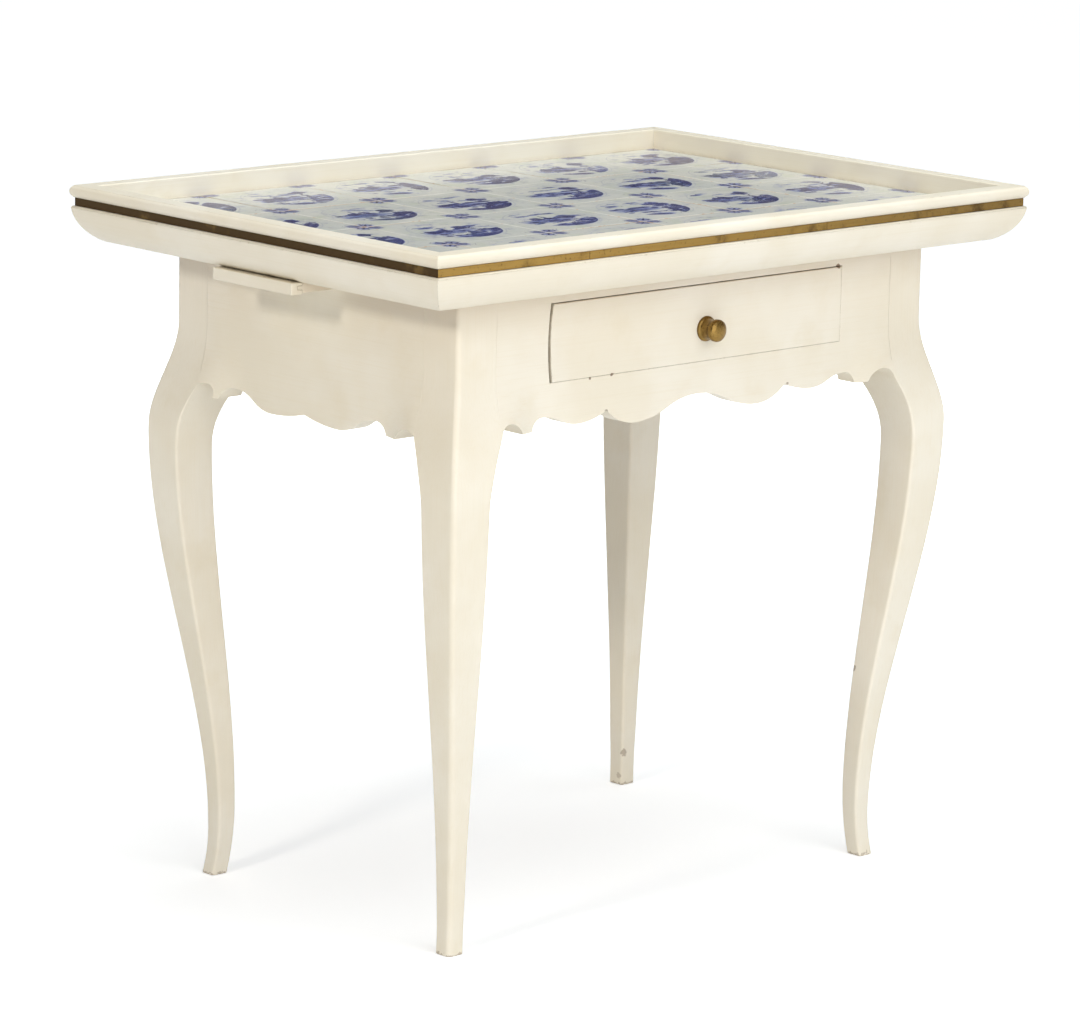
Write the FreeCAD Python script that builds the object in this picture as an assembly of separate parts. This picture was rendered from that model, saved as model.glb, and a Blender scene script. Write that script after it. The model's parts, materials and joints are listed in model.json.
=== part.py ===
import FreeCAD, Part
import math
import os

from FreeCAD import Vector

# Tile top table. Millimetres, floor at Z 0, the front with the drawer faces -Y.

# Tiles and their bed
tile_size = 130.0
tile_thickness = 8.0
tile_undercut = 1.5
tile_columns = 6
tile_rows = 4
tile_joint = 1.0
edge_joint = 2.0
mortar_thickness = 3.0
grout_drop = 0.8

# Tray rim
table_height = 730.0
tray_depth = 21.0
rim_width = 22.0
bead_height = 13.0
bead_nose = 4.0
band_height = 8.5
band_thickness = 2.5
band_set_back = 4.6
band_joint = 0.4
band_joint_places = (-215.0, 115.0)
moulding_height = 36.5
moulding_set_back = 1.3
moulding_lip = 2.5
moulding_run = 24.7
moulding_fullness = 5.3
ledge_width = 8.0
tongue_length = 8.0
tongue_thickness = 8.0
tongue_clearance = 0.3

# Stand
end_overhang = 88.5
front_overhang = 67.5
post_size = 50.0
knee_start_drop = 82.0
knee_drop = 192.0
knee_bulge = 22.0
inner_knee_drop = 212.0
inner_knee_inset = 28.0
ankle_height = 48.0
ankle_inset = 24.6
inner_ankle_height = 75.0
inner_ankle_inset = 47.2
toe_inset = 20.5
inner_toe_inset = 41.5
apron_thickness = 22.0
apron_set_back = 0.8
apron_end_drop = 141.0
tenon_thickness = 9.0
tenon_cover = 25.0
tenon_shoulder = 18.0
tenon_fit = 0.1
peg_diameter = 6.0
peg_sides = 8
peg_fit = 0.1
peg_length = 24.0
peg_inset = 12.0
peg_spacing = 64.0
block_leg = 18.0
block_length = 40.0
block_end_inset = 48.0

# Front and back scallop: places as shares of the half span, drops from the top of the stand
front_arch_drop = 129.0
front_lobe_share = 0.309
front_lobe_drop = 149.0
front_cusp_share = 0.457
front_cusp_drop = 132.0
front_small_lobe_share = 0.594
front_small_lobe_drop = 141.5
front_hollow_share = 0.77
front_hollow_drop = 130.0
front_bracket_share = 0.822
front_bracket_drop = 142.5
front_notch_drop = 129.5

# Scallop of the two ends, cut off centre towards the back
end_shift = 13.0
end_cusp_drop = 150.0
end_lobe_share = 0.31
end_lobe_drop = 157.0
end_hollow_share = 0.655
end_hollow_drop = 139.0
end_bracket_share = 0.75
end_bracket_drop = 151.5
end_notch_drop = 138.0

# Small arch of each scallop against its post, and the tip beside it
notch_inset = 13.0
tip_share = 0.45

# Drawer
opening_share = 0.7392
opening_height = 80.0
opening_drop = 16.4
opening_bow = 3.0
front_gap_left = 1.6
front_gap_right = 0.8
front_gap_top = 1.0
front_gap_bottom = 1.0
front_thickness = 20.0
front_proud = 0.5
front_softening = 1.2
side_inset = 1.4
side_thickness = 10.0
side_height = 66.0
drawer_back_gap = 36.9
tail_length = 12.0
tail_root = 9.0
tail_slope = 10.0
tail_count = 3
bottom_thickness = 6.0
bottom_lift = 6.0
groove_depth = 5.0
groove_fit = 0.2
back_thickness = 10.0
back_drop = 5.0
running_gap = 0.3
runner_ledge = 17.0
runner_fence = 10.0
runner_depth = 27.0
fence_height = 18.0
fence_gap = 0.6
stop_size = 14.0

# Knob
knob_drop = 63.0
knob_place = 9.0
knob_head_radius = 11.5
knob_neck_radius = 8.5
knob_neck_foot_radius = 10.5
knob_base_radius = 13.0
knob_reach = 21.5
knob_base_thickness = 2.6
knob_edge = 4.5
knob_bevel = 2.4
knob_face_radius = 6.5
shank_radius = 2.5
shank_fit = 0.3
nut_width = 11.0
nut_thickness = 4.0
shank_spare = 2.0

# Candle slides
slide_share = 0.732
slide_thickness = 11.0
slide_length = 266.0
slide_place = 8.0
slide_fit = 0.8
slide_tongue = 6.0
slide_tongue_thickness = 4.0
clamp_thickness = 14.0
clamp_height = 12.3
left_slide_out = 73.0
right_slide_out = 14.5
stop_dowel_diameter = 8.0
stop_dowel_drop = 10.0
stop_dowel_inset = 76.0
rail_ledge_width = 12.0
rail_ledge_thickness = 4.0
rail_fence_width = 14.0

# Heights that follow from them
tile_top = table_height - tray_depth
tile_bottom = tile_top - tile_thickness
bed_top = tile_bottom - mortar_thickness
band_top = table_height - bead_height
moulding_top = band_top - band_height
stand_top = moulding_top - moulding_height
apron_end = stand_top - apron_end_drop

# Plan sizes, as halves
tile_pitch = tile_size + tile_joint
tray_x = (tile_columns * tile_pitch - tile_joint) / 2 + edge_joint
tray_y = (tile_rows * tile_pitch - tile_joint) / 2 + edge_joint
top_x = tray_x + rim_width
top_y = tray_y + rim_width
board_x = tray_x - ledge_width
board_y = tray_y - ledge_width
post_x = top_x - end_overhang
post_y = top_y - front_overhang
apron_face_x = post_x - apron_set_back
apron_face_y = post_y - apron_set_back
apron_inner_x = apron_face_x - apron_thickness
apron_inner_y = apron_face_y - apron_thickness
span_x = post_x - post_size
span_y = post_y - post_size
tenon_length = post_size - tenon_cover

# Drawer places
opening_width = 2 * span_x * opening_share
opening_top = stand_top - opening_drop
opening_bottom = opening_top - opening_height
drawer_bottom = opening_bottom + front_gap_bottom
drawer_face = -apron_face_y - front_proud
drawer_front_back = drawer_face + front_thickness
side_outer = opening_width / 2 - front_gap_left - side_inset
side_inner = side_outer - side_thickness
drawer_end = apron_inner_y - drawer_back_gap
panel_bottom = drawer_bottom + bottom_lift
panel_top = panel_bottom + bottom_thickness
runner_top = drawer_bottom - running_gap
knob_height = stand_top - knob_drop

# Slide places
slide_width = span_y * slide_share
slide_top = stand_top - running_gap
slide_bottom = slide_top - slide_thickness
rail_ledge_top = slide_bottom - running_gap
rail_bottom = rail_ledge_top - rail_ledge_thickness
slot_half = slide_width / 2 + slide_fit
rail_reach = slot_half + rail_fence_width


def box(x0, x1, y0, y1, z0, z1):
    return Part.makeBox(x1 - x0, y1 - y0, z1 - z0, Vector(x0, y0, z0))


def polygon(points):
    return Part.Face(Part.makePolygon(points + [points[0]]))


def line(a, b):
    return Part.LineSegment(a, b).toShape()


def arc(a, b, c):
    return Part.Arc(a, b, c).toShape()


def curve(poles):
    bezier = Part.BezierCurve()
    bezier.setPoles(poles)
    return bezier.toShape()


def save(name, shape):
    shape.exportStep("parts/%s.step" % name)


def mirror_x(shape):
    return shape.mirror(Vector(0, 0, 0), Vector(1, 0, 0))


def mirror_y(shape):
    return shape.mirror(Vector(0, 0, 0), Vector(0, 1, 0))


# Curve pieces of a scalloped edge, drawn in the plane of place and height


def level_arc(p, q):
    # Arc from p to q that runs level at p
    run = q.x - p.x
    rise = q.y - p.y
    radius = (run ** 2 + rise ** 2) / (2 * abs(rise))
    half = math.atan2(abs(rise), abs(run))
    side = math.copysign(1, rise)
    middle = Vector(
        p.x + math.copysign(radius * math.sin(half), run),
        p.y + side * radius * (1 - math.cos(half)), 0)
    return arc(p, middle, q)


def ogee(p, q):
    # Two arcs, level at both ends, that meet halfway
    middle = (p + q) / 2
    return [level_arc(p, middle), level_arc(q, middle)]


def scallop_end(half_span, hollow, bracket, notch_drop):
    # Short flat beside a hollow, then a small arch against the post
    notch = Vector(half_span - notch_inset, stand_top - notch_drop, 0)
    tip = Vector(bracket.x + (notch.x - bracket.x) * tip_share, bracket.y, 0)
    end = Vector(half_span, apron_end, 0)
    return [level_arc(hollow, bracket), line(bracket, tip), level_arc(notch, tip), level_arc(notch, end)]


def front_scallop(half_span, shift):
    def at(share, drop):
        return Vector(share * half_span + shift, stand_top - drop, 0)

    arch = at(0, front_arch_drop)
    lobe = at(front_lobe_share, front_lobe_drop)
    cusp = at(front_cusp_share, front_cusp_drop)
    small_lobe = at(front_small_lobe_share, front_small_lobe_drop)
    hollow = at(front_hollow_share, front_hollow_drop)
    bracket = at(front_bracket_share, front_bracket_drop)
    return (ogee(arch, lobe) + [level_arc(lobe, cusp), level_arc(small_lobe, cusp)] + ogee(small_lobe, hollow)
            + scallop_end(half_span, hollow, bracket, front_notch_drop))


def end_scallop(half_span, shift):
    def at(share, drop):
        return Vector(share * half_span + shift, stand_top - drop, 0)

    cusp = at(0, end_cusp_drop)
    lobe = at(end_lobe_share, end_lobe_drop)
    hollow = at(end_hollow_share, end_hollow_drop)
    bracket = at(end_bracket_share, end_bracket_drop)
    return ([level_arc(lobe, cusp)] + ogee(lobe, hollow)
            + scallop_end(half_span, hollow, bracket, end_notch_drop))


def apron_blank(half_span, scallop, shift):
    # Board between two posts with tenons, in the plane of place and height, then stood up along X
    half = scallop(half_span, shift)
    other = [edge.mirror(Vector(0, 0, 0), Vector(1, 0, 0)) for edge in scallop(half_span, -shift)]
    ends = [
        line(Vector(half_span, apron_end, 0), Vector(half_span, stand_top, 0)),
        line(Vector(half_span, stand_top, 0), Vector(-half_span, stand_top, 0)),
        line(Vector(-half_span, stand_top, 0), Vector(-half_span, apron_end, 0)),
    ]
    outline = Part.Wire(Part.__sortEdges__(half + other + ends))
    board = Part.Face(outline).extrude(Vector(0, 0, -apron_thickness))
    inset = (apron_thickness - tenon_thickness) / 2
    reach = half_span + tenon_length
    tenon = box(-reach, reach, apron_end + tenon_shoulder, stand_top - tenon_shoulder,
                -inset - tenon_thickness, -inset)
    board = board.fuse(tenon).removeSplitter()
    board.rotate(Vector(0, 0, 0), Vector(1, 0, 0), 90)
    return board


def peg_places():
    middle = (apron_end + stand_top) / 2
    return [middle - peg_spacing / 2, middle + peg_spacing / 2]


def peg(start, direction, radius):
    # Peg shaved to flat sides, or the hole that it is driven into
    corners = []
    for index in range(peg_sides):
        angle = 2 * math.pi * (index + 0.5) / peg_sides
        across = radius * math.cos(angle)
        rise = radius * math.sin(angle)
        corners.append(start + Vector(across * direction.y, across * direction.x, rise))
    return polygon(corners).extrude(direction * peg_length)


def front_pegs(radius):
    # Pegs that hold the front apron in the front left leg
    starts = [Vector(-span_x - peg_inset, -post_y, height) for height in peg_places()]
    return [peg(start, Vector(0, 1, 0), radius) for start in starts]


def end_pegs(radius):
    # Pegs that hold the left apron in the front left leg
    starts = [Vector(-post_x, -span_y - peg_inset, height) for height in peg_places()]
    return [peg(start, Vector(1, 0, 0), radius) for start in starts]


# Curves of a leg, drawn as inset from the post's outer face and height


def sweep(a, b):
    # Curve from a to b that runs upright at both ends
    third = (b.y - a.y) / 3
    return curve([a, Vector(a.x, a.y + third, 0), Vector(b.x, b.y - third, 0), b])


def flare(a, b):
    # Curve from a to b that runs upright at a and leans at b
    return curve([a, Vector(a.x, (a.y + b.y) / 2, 0), b])


def leg_outline():
    def at(inset, height):
        return Vector(inset, height, 0)

    post_top = at(0, stand_top)
    knee_start = at(0, stand_top - knee_start_drop)
    knee = at(-knee_bulge, stand_top - knee_drop)
    ankle = at(ankle_inset, ankle_height)
    toe = at(toe_inset, 0)
    inner_toe = at(inner_toe_inset, 0)
    inner_ankle = at(inner_ankle_inset, inner_ankle_height)
    inner_knee = at(inner_knee_inset, stand_top - inner_knee_drop)
    bracket = at(post_size, apron_end)
    inner_top = at(post_size, stand_top)
    edges = [
        line(inner_top, post_top),
        line(post_top, knee_start),
        sweep(knee_start, knee),
        sweep(knee, ankle),
        flare(ankle, toe),
        line(toe, inner_toe),
        flare(inner_ankle, inner_toe),
        sweep(inner_ankle, inner_knee),
        flare(inner_knee, bracket),
        line(bracket, inner_top),
    ]
    return Part.Face(Part.Wire(Part.__sortEdges__(edges)))


def front_left_leg():
    # One outline sawn through both faces of a square blank
    reach = post_size + knee_bulge
    first = leg_outline().extrude(Vector(0, 0, -reach))
    first.rotate(Vector(0, 0, 0), Vector(1, 0, 0), 90)
    second = leg_outline().extrude(Vector(0, 0, reach))
    second.rotate(Vector(0, 0, 0), Vector(1, 0, 0), 90)
    second.rotate(Vector(0, 0, 0), Vector(0, 0, 1), 90)
    first.translate(Vector(0, -knee_bulge, 0))
    second.translate(Vector(-knee_bulge, 0, 0))
    leg = first.common(second)
    leg.translate(Vector(-post_x, -post_y, 0))
    low = apron_end + tenon_shoulder - tenon_fit
    high = stand_top - tenon_shoulder + tenon_fit
    depth = tenon_length + tenon_fit
    near = (apron_thickness - tenon_thickness) / 2 - tenon_fit
    far = near + tenon_thickness + 2 * tenon_fit
    front_mortise = box(-span_x - depth, -span_x, near - apron_face_y, far - apron_face_y, low, high)
    end_mortise = box(near - apron_face_x, far - apron_face_x, -span_y - depth, -span_y, low, high)
    hole_radius = peg_diameter / 2 + peg_fit
    return leg.cut([front_mortise, end_mortise] + front_pegs(hole_radius) + end_pegs(hole_radius))


def make_legs():
    leg = front_left_leg()
    save("leg_front_left", leg)
    save("leg_front_right", mirror_x(leg))
    save("leg_back_left", mirror_y(leg))
    save("leg_back_right", mirror_y(mirror_x(leg)))
    quarter = front_pegs(peg_diameter / 2) + end_pegs(peg_diameter / 2)
    half = quarter + [mirror_x(piece) for piece in quarter]
    save("tenon_pegs", Part.makeCompound(half + [mirror_y(piece) for piece in half]))


def drawer_outline(left, right, bottom, top):
    # Outline with its left end slightly bowed, as hand-cut
    middle = (bottom + top) / 2
    edges = [
        line(Vector(left, 0, top), Vector(right, 0, top)),
        line(Vector(right, 0, top), Vector(right, 0, bottom)),
        line(Vector(right, 0, bottom), Vector(left, 0, bottom)),
        arc(Vector(left, 0, bottom), Vector(left - opening_bow, 0, middle), Vector(left, 0, top)),
    ]
    return Part.Face(Part.Wire(Part.__sortEdges__(edges)))


def make_aprons():
    hole_radius = peg_diameter / 2 + peg_fit
    left_holes = front_pegs(hole_radius)
    front_holes = left_holes + [mirror_x(hole) for hole in left_holes]
    long_board = apron_blank(span_x, front_scallop, 0)
    long_board.translate(Vector(0, -apron_face_y, 0))
    long_board = long_board.cut(front_holes)
    opening = drawer_outline(-opening_width / 2, opening_width / 2, opening_bottom, opening_top)
    opening.translate(Vector(0, -post_y, 0))
    opening = opening.extrude(Vector(0, post_size, 0))
    save("apron_front", long_board.cut(opening))
    save("apron_back", mirror_y(long_board))

    short_holes = end_pegs(hole_radius)
    end_holes = short_holes + [mirror_y(hole) for hole in short_holes]
    short_board = apron_blank(span_y, end_scallop, -end_shift)
    short_board.rotate(Vector(0, 0, 0), Vector(0, 0, 1), -90)
    short_board.translate(Vector(-apron_face_x, 0, 0))
    slot = box(-post_x, -apron_inner_x, slide_place - slot_half, slide_place + slot_half,
               rail_ledge_top, stand_top)
    short_board = short_board.cut(end_holes + [slot])
    save("apron_left", short_board)
    save("apron_right", mirror_x(short_board))


def make_blocks():
    # Three-cornered blocks glued between the aprons and the bed board
    def front_block(place):
        corner = Vector(place - block_length / 2, -apron_inner_y, stand_top)
        face = polygon([corner, corner + Vector(0, block_leg, 0), corner + Vector(0, 0, -block_leg)])
        return face.extrude(Vector(block_length, 0, 0))

    def left_block(place):
        corner = Vector(-apron_inner_x, place - block_length / 2, stand_top)
        face = polygon([corner, corner + Vector(block_leg, 0, 0), corner + Vector(0, 0, -block_leg)])
        return face.extrude(Vector(0, block_length, 0))

    fronts = [front_block(side * (span_x - block_end_inset)) for side in (-1, 1)]
    lefts = [left_block((slide_place + side * (rail_reach + span_y)) / 2) for side in (-1, 1)]
    blocks = fronts + [mirror_y(block) for block in fronts]
    blocks += lefts + [mirror_x(block) for block in lefts]
    save("top_blocks", Part.makeCompound(blocks))


def tile(column, row):
    x = (column - (tile_columns - 1) / 2) * tile_pitch
    y = (row - (tile_rows - 1) / 2) * tile_pitch

    def square(half, height):
        corners = [Vector(x - half, y - half, height), Vector(x + half, y - half, height),
                   Vector(x + half, y + half, height), Vector(x - half, y + half, height)]
        return Part.makePolygon(corners + [corners[0]])

    back = square(tile_size / 2 - tile_undercut, tile_bottom)
    face = square(tile_size / 2, tile_top)
    return Part.makeLoft([back, face], True, True)


def make_tiles():
    tiles = []
    for row in range(tile_rows):
        for column in range(tile_columns):
            piece = tile(column, row)
            tiles.append(piece)
            save("tile_row%d_column%d" % (row + 1, column + 1), piece)
    slab = box(-tray_x, tray_x, -tray_y, tray_y, bed_top, tile_top - grout_drop)
    save("mortar_bed", slab.cut(tiles))


def rim_section():
    # Section of the rim: inset from the bead's tip, and height
    def at(inset, height):
        return Vector(inset, 0, height)

    groove = band_set_back + band_thickness
    lip = moulding_set_back + moulding_lip
    lip_low = at(moulding_set_back, moulding_top - moulding_lip)
    foot = at(moulding_set_back + moulding_run, stand_top)
    chord = foot - lip_low
    outward = Vector(chord.z, 0, -chord.x).normalize()
    belly = (lip_low + foot) / 2 + outward * moulding_fullness
    quarter = moulding_lip * (1 - math.sqrt(0.5))
    lip_middle = at(moulding_set_back + quarter, moulding_top - quarter)
    ledge = rim_width + ledge_width
    groove_end = ledge - tongue_length
    groove_low = (bed_top + stand_top - tongue_thickness) / 2
    groove_high = groove_low + tongue_thickness
    edges = [
        line(at(rim_width, table_height), at(bead_nose, table_height)),
        arc(at(bead_nose, table_height), at(0, table_height - bead_height / 2), at(bead_nose, band_top)),
        line(at(bead_nose, band_top), at(groove, band_top)),
        line(at(groove, band_top), at(groove, moulding_top)),
        line(at(groove, moulding_top), at(lip, moulding_top)),
        arc(at(lip, moulding_top), lip_middle, lip_low),
        arc(lip_low, belly, foot),
        line(foot, at(ledge, stand_top)),
        line(at(ledge, stand_top), at(ledge, groove_low)),
        line(at(ledge, groove_low), at(groove_end, groove_low)),
        line(at(groove_end, groove_low), at(groove_end, groove_high)),
        line(at(groove_end, groove_high), at(ledge, groove_high)),
        line(at(ledge, groove_high), at(ledge, bed_top)),
        line(at(ledge, bed_top), at(rim_width, bed_top)),
        line(at(rim_width, bed_top), at(rim_width, table_height)),
    ]
    return Part.Face(Part.Wire(edges))


def mitre(half, outer, depth, low, high):
    # Wedge with 45 degree ends that a strip along X, with its outer face at -outer, is cut to
    shape = polygon([Vector(-half, -outer, low), Vector(half, -outer, low),
                     Vector(half - depth, -outer + depth, low), Vector(-half + depth, -outer + depth, low)])
    return shape.extrude(Vector(0, 0, high - low))


def rim_strip(half, outer):
    section = rim_section()
    section.rotate(Vector(0, 0, 0), Vector(0, 0, 1), 90)
    section.translate(Vector(half, -outer, 0))
    strip = section.extrude(Vector(-2 * half, 0, 0))
    return strip.common(mitre(half, outer, rim_width + ledge_width, stand_top, table_height))


def band_strip(half, outer):
    return mitre(half - band_set_back, outer - band_set_back, band_thickness, moulding_top, band_top)


def make_rim():
    front = rim_strip(top_x, top_y)
    right = rim_strip(top_y, top_x)
    right.rotate(Vector(0, 0, 0), Vector(0, 0, 1), 90)
    save("rim_front", front)
    save("rim_back", mirror_y(front))
    save("rim_right", right)
    save("rim_left", mirror_x(right))

    band = band_strip(top_x, top_y)
    gaps = [box(place - band_joint / 2, place + band_joint / 2, -top_y, -tray_y, moulding_top, band_top)
            for place in band_joint_places]
    save("brass_band_front", band.cut(gaps))
    save("brass_band_back", mirror_y(band))
    band = band_strip(top_y, top_x)
    band.rotate(Vector(0, 0, 0), Vector(0, 0, 1), 90)
    save("brass_band_right", band)
    save("brass_band_left", mirror_x(band))


def make_bed_board():
    middle = (bed_top + stand_top) / 2
    tongue = tongue_length - tongue_clearance
    half = tongue_thickness / 2 - tongue_clearance
    board = box(-board_x, board_x, -board_y, board_y, stand_top, bed_top)
    edge = box(-board_x - tongue, board_x + tongue, -board_y - tongue, board_y + tongue,
               middle - half, middle + half)
    save("bed_board", board.fuse(edge).removeSplitter())


def tails(outer, inner):
    # Dovetail tails on the front end of a drawer side
    root = drawer_front_back
    tip = drawer_front_back - tail_length
    narrow = tail_root / 2
    wide = narrow + tail_length * math.tan(math.radians(tail_slope))
    pitch = side_height / tail_count
    shapes = []
    for index in range(tail_count):
        height = drawer_bottom + (index + 0.5) * pitch
        face = polygon([
            Vector(outer, root, height - narrow), Vector(outer, root, height + narrow),
            Vector(outer, tip, height + wide), Vector(outer, tip, height - wide)])
        shapes.append(face.extrude(Vector(inner - outer, 0, 0)))
    return shapes


def make_drawer():
    left = -opening_width / 2 + front_gap_left
    right = opening_width / 2 - front_gap_right
    outline = drawer_outline(left, right, drawer_bottom, opening_top - front_gap_top)
    outline.translate(Vector(0, drawer_face, 0))
    front = outline.extrude(Vector(0, front_thickness, 0))
    face_edges = [edge for edge in front.Edges if edge.BoundBox.YMax < drawer_face + front_softening / 2]
    front = front.makeFillet(front_softening, face_edges)
    left_tails = tails(-side_outer, -side_inner)
    right_tails = tails(side_outer, side_inner)
    panel_half = side_inner + groove_depth - groove_fit
    panel = box(-panel_half, panel_half, drawer_front_back - groove_depth + groove_fit, drawer_end,
                panel_bottom, panel_top)
    groove_half = side_inner + groove_depth
    groove = box(-groove_half, groove_half, drawer_front_back - groove_depth, drawer_end,
                 panel_bottom - groove_fit / 2, panel_top + groove_fit / 2)
    shank_hole = Part.makeCylinder(shank_radius + shank_fit, front_thickness,
                                   Vector(knob_place, drawer_face, knob_height), Vector(0, 1, 0))
    save("drawer_front", front.cut(left_tails + right_tails + [groove, shank_hole]))

    side_top = drawer_bottom + side_height
    side = box(side_inner, side_outer, drawer_front_back, drawer_end, drawer_bottom, side_top)
    right_side = side.fuse(right_tails).cut(groove).removeSplitter()
    left_side = mirror_x(side).fuse(left_tails).cut(groove).removeSplitter()
    save("drawer_side_right", right_side)
    save("drawer_side_left", left_side)
    save("drawer_bottom", panel)
    save("drawer_back", box(-side_inner, side_inner, drawer_end - back_thickness, drawer_end,
                            panel_top + groove_fit / 2, side_top - back_drop))


def make_runners():
    # L-section runner with a fence, between the front and the back apron
    ledge_inner = side_outer + fence_gap - runner_ledge
    fence_inner = side_outer + fence_gap
    fence_outer = fence_inner + runner_fence
    low = runner_top - runner_depth
    section = polygon([
        Vector(ledge_inner, -apron_inner_y, low), Vector(fence_outer, -apron_inner_y, low),
        Vector(fence_outer, -apron_inner_y, runner_top + fence_height),
        Vector(fence_inner, -apron_inner_y, runner_top + fence_height),
        Vector(fence_inner, -apron_inner_y, runner_top), Vector(ledge_inner, -apron_inner_y, runner_top)])
    runner = section.extrude(Vector(0, 2 * apron_inner_y, 0))
    save("drawer_runner_right", runner)
    save("drawer_runner_left", mirror_x(runner))
    stop = box(fence_inner - stop_size, fence_inner, drawer_end + running_gap,
               drawer_end + running_gap + stop_size, runner_top, runner_top + stop_size)
    save("drawer_stops", Part.makeCompound([stop, mirror_x(stop)]))


def make_knob():
    # Turned brass knob with a round base, drawn as radius and reach, then turned about its shank
    head_back = knob_reach - knob_bevel - knob_edge
    shank_end = -front_thickness - nut_thickness - shank_spare
    neck_middle = (knob_base_thickness + head_back) / 2

    def at(radius, reach):
        return Vector(radius, -reach, 0)

    edges = [
        line(at(0, shank_end), at(shank_radius, shank_end)),
        line(at(shank_radius, shank_end), at(shank_radius, 0)),
        line(at(shank_radius, 0), at(knob_base_radius, 0)),
        line(at(knob_base_radius, 0), at(knob_base_radius, knob_base_thickness)),
        line(at(knob_base_radius, knob_base_thickness), at(knob_neck_foot_radius, knob_base_thickness)),
        line(at(knob_neck_foot_radius, knob_base_thickness), at(knob_neck_radius, neck_middle)),
        line(at(knob_neck_radius, neck_middle), at(knob_head_radius, head_back)),
        line(at(knob_head_radius, head_back), at(knob_head_radius, head_back + knob_edge)),
        line(at(knob_head_radius, head_back + knob_edge), at(knob_face_radius, knob_reach)),
        line(at(knob_face_radius, knob_reach), at(0, knob_reach)),
        line(at(0, knob_reach), at(0, shank_end)),
    ]
    face = Part.Face(Part.Wire(Part.__sortEdges__(edges)))
    knob = face.revolve(Vector(0, 0, 0), Vector(0, 1, 0), 360)
    knob.translate(Vector(knob_place, drawer_face, knob_height))
    save("drawer_knob", knob)
    nut = box(knob_place - nut_width / 2, knob_place + nut_width / 2,
              drawer_front_back, drawer_front_back + nut_thickness,
              knob_height - nut_width / 2, knob_height + nut_width / 2)
    hole = Part.makeCylinder(shank_radius + shank_fit, nut_thickness,
                             Vector(knob_place, drawer_front_back, knob_height), Vector(0, 1, 0))
    save("knob_nut", nut.cut(hole))


def left_slide(out):
    # Board and end clamp of the left slide, its end face this far outside the post
    end = -post_x - out
    joint = end + clamp_thickness
    front = slide_place - slide_width / 2
    back = slide_place + slide_width / 2
    middle = (slide_top + slide_bottom) / 2
    tongue_half = slide_tongue_thickness / 2
    board = box(joint, joint + slide_length, front, back, slide_bottom, slide_top)
    tongue = box(joint - slide_tongue, joint, front, back, middle - tongue_half, middle + tongue_half)
    dowel = Part.makeCylinder(
        stop_dowel_diameter / 2, slide_thickness + stop_dowel_drop,
        Vector(joint + slide_length - stop_dowel_inset, slide_place, slide_bottom - stop_dowel_drop))
    clamp = box(end, joint, front, back, slide_top - clamp_height, slide_top)
    return board.fuse([tongue, dowel]).removeSplitter(), clamp.cut(tongue)


def slide_rail(inner, fence, outer):
    # L-section rail under and beside both slides, from one end apron to the other
    start = -apron_inner_x
    section = polygon([
        Vector(start, outer, rail_bottom), Vector(start, inner, rail_bottom),
        Vector(start, inner, rail_ledge_top), Vector(start, fence, rail_ledge_top),
        Vector(start, fence, stand_top), Vector(start, outer, stand_top)])
    return section.extrude(Vector(2 * apron_inner_x, 0, 0))


def make_slides():
    board, clamp = left_slide(left_slide_out)
    save("slide_board_left", board)
    save("slide_clamp_left", clamp)
    board, clamp = left_slide(right_slide_out)
    save("slide_board_right", mirror_x(board))
    save("slide_clamp_right", mirror_x(clamp))
    front = slide_place - slot_half
    back = slide_place + slot_half
    save("slide_rail_front", slide_rail(front + rail_ledge_width, front, slide_place - rail_reach))
    save("slide_rail_back", slide_rail(back - rail_ledge_width, back, slide_place + rail_reach))


os.makedirs("parts", exist_ok=True)
make_tiles()
make_rim()
make_bed_board()
make_legs()
make_aprons()
make_blocks()
make_drawer()
make_runners()
make_knob()
make_slides()
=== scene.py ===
import bmesh
import bpy
import json
import math
import numpy as np
import random
from mathutils import Matrix, Vector, noise


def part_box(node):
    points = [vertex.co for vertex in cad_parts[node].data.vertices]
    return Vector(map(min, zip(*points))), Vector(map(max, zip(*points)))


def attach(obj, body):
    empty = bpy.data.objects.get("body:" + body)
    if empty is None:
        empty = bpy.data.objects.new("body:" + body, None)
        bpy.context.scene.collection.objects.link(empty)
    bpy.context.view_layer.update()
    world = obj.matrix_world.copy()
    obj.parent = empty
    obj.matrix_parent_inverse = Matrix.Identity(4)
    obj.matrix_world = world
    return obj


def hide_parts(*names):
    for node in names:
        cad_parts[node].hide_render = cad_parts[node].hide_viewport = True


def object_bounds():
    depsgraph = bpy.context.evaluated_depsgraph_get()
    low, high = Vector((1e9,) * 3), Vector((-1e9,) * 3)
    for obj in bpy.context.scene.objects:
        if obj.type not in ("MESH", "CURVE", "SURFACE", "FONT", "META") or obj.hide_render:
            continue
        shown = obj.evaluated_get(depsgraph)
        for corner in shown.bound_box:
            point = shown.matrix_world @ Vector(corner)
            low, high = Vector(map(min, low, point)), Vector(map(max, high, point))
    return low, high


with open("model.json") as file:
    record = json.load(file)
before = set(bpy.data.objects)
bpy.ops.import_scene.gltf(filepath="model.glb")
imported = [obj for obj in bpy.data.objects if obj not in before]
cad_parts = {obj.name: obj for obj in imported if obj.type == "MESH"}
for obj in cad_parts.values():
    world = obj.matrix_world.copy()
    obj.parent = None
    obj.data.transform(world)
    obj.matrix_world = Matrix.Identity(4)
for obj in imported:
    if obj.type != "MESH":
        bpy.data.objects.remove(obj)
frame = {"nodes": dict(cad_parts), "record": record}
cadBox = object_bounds()
scene = bpy.context.scene
scene.view_settings.view_transform = "Standard"
nodes = frame["nodes"]
bodies = frame["record"]["behaviour"]["bodies"]
bodyOf = {node: body for body, members in bodies.items() for node in members}
print("frame loaded,", len(nodes), "nodes")


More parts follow.
